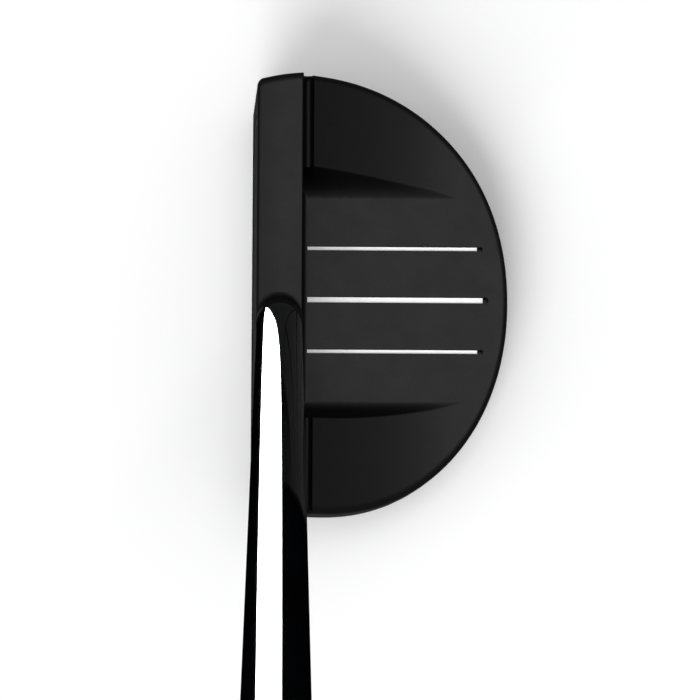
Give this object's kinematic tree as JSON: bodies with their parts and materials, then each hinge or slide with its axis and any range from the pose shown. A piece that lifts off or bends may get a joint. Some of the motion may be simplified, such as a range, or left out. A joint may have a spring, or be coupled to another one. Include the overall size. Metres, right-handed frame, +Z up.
{
  "type": "mallet putter",
  "caption": "Centre-shafted D-shaped mallet putter with alignment channel, sole plate, screw-in sole weights, steel shaft and flat-front grip.",
  "frame": {"origin": "middle of the flat sole, on the ground, with the club at address", "axes": "+X from the face to the back of the head, +Y from heel to toe, +Z up; the face points along -X"},
  "size_m": [0.0622, 0.3685, 0.8384],
  "materials": {
    "black_body": "satin",
    "face_metal": "matte",
    "adhesive_tape": "matte",
    "sole_metal": "satin",
    "fastener_steel": "satin",
    "weight_steel": "satin",
    "washer_nylon": "matte",
    "white_paint": "satin",
    "epoxy": "gloss",
    "black_shaft": "gloss",
    "tape_paper": "matte",
    "grip_foam": "matte",
    "grip_skin": "matte",
    "cap_rubber": "matte"
  },
  "bodies": {
    "root": {"head_body": "black_body", "face_insert": "face_metal", "face_insert_tape": "adhesive_tape", "sole_plate": "sole_metal", "sole_screw_toe_front": "fastener_steel", "sole_screw_heel_front": "fastener_steel", "sole_screw_toe_rear": "fastener_steel", "sole_screw_heel_rear": "fastener_steel", "toe_weight": "weight_steel", "heel_weight": "weight_steel", "toe_weight_washer": "washer_nylon", "heel_weight_washer": "washer_nylon", "sight_line_centre": "white_paint", "sight_line_toe": "white_paint", "sight_line_heel": "white_paint", "shaft_bond": "epoxy", "shaft": "black_shaft", "grip_tape": "tape_paper", "grip_core": "grip_foam", "grip_skin": "grip_skin", "grip_cap": "cap_rubber"}
  },
  "joints": []
}
